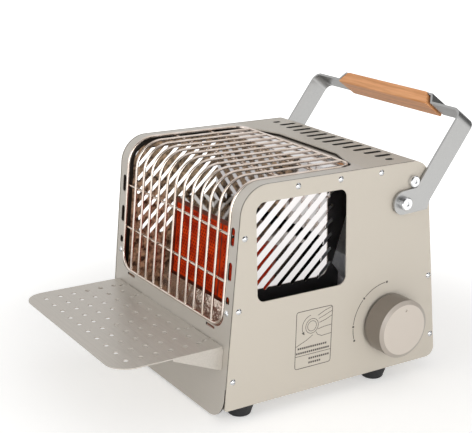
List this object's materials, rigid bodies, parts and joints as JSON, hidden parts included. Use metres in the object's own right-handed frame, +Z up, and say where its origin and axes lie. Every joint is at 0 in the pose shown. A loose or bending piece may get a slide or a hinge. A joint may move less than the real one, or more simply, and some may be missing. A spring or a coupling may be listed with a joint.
{
  "type": "portable gas cartridge heater",
  "caption": "Boxy portable gas radiant heater with a wire guard over glowing ceramic, a fold-down perforated tray, a wooden-gripped swing handle and a side valve knob.",
  "frame": {"origin": "on the surface the heater stands on, midway between the side plates and midway along the plates' lower edge", "axes": "+X to the right seen from the front, where the knob is; +Y to the back; +Z up"},
  "size_m": [0.2801, 0.4163, 0.2948],
  "materials": {
    "greige_paint": "satin powder coat",
    "polished_steel": "mirror-polished stainless steel",
    "plated_wire": "nickel-plated wire",
    "zinc_steel": "zinc-plated steel",
    "chromed_fasteners": "bright plated",
    "strap_steel": "satin steel strap",
    "ceramic": "porous honeycomb, glowing",
    "fibre_gasket": "ceramic fibre felt",
    "brass": "turned brass",
    "die_cast_zinc": "die-cast",
    "magnet": "sintered magnet in a black housing",
    "electrode_ceramic": "glazed insulator",
    "black_rubber": "moulded rubber",
    "grip_wood": "oiled beech",
    "taupe_plastic": "satin moulded plastic"
  },
  "bodies": {
    "housing": {"right_side_plate": "greige_paint", "left_side_plate": "greige_paint", "front_top_sheet": "greige_paint", "rear_cover": "greige_paint", "base_plate": "greige_paint", "tray_hinge_ears": "greige_paint", "door_hinge_ears": "greige_paint", "right_cheek_reflector": "polished_steel", "left_cheek_reflector": "polished_steel", "rear_reflector": "polished_steel", "bottom_reflector": "polished_steel", "guard_frame": "plated_wire", "guard_bars": "plated_wire", "guard_cross_wires": "plated_wire", "heat_shield": "zinc_steel", "burner_box": "zinc_steel", "burner_frame": "zinc_steel", "mixing_tube": "zinc_steel", "valve_bracket": "zinc_steel", "cartridge_cradle": "zinc_steel", "tray_hinge_pins": "zinc_steel", "door_hinge_pins": "zinc_steel", "foot_screws": "chromed_fasteners", "side_screws": "chromed_fasteners", "guard_screws": "chromed_fasteners", "pivot_bolts": "chromed_fasteners", "pivot_bushes": "chromed_fasteners", "stop_bolts": "chromed_fasteners", "ceramic_plaques": "ceramic", "plaque_gasket": "fibre_gasket", "gas_jet": "brass", "gas_pipe": "brass", "thermocouple": "brass", "valve_body": "die_cast_zinc", "cartridge_seat": "magnet", "door_magnet": "magnet", "igniter_electrode": "electrode_ceramic", "feet": "black_rubber"},
    "tray": {"tray": "greige_paint"},
    "handle": {"handle_strap": "strap_steel", "wooden_grip": "grip_wood", "grip_screws": "chromed_fasteners"},
    "knob": {"knob": "taupe_plastic", "valve_shaft": "zinc_steel"},
    "rear_door": {"rear_door": "greige_paint"}
  },
  "joints": [
    {"name": "tray_fold", "type": "hinge", "parent": "housing", "child": "tray", "pos_m": [0, -0.13612, 0.0759], "axis": [-1, 0, 0], "range_deg": [0, 93]},
    {"name": "handle_swing", "type": "hinge", "parent": "housing", "child": "handle", "pos_m": [0, 0.0727, 0.197], "axis": [-1, 0, 0], "range_deg": [0, 96]},
    {"name": "knob_turn", "type": "hinge", "parent": "housing", "child": "knob", "pos_m": [0.12, 0.0625, 0.0695], "axis": [1, 0, 0], "range_deg": [0, 111]},
    {"name": "rear_door_drop", "type": "hinge", "parent": "housing", "child": "rear_door", "pos_m": [0, 0.13633, 0.0295], "axis": [-1, 0, 0], "range_deg": [0, 100]}
  ]
}
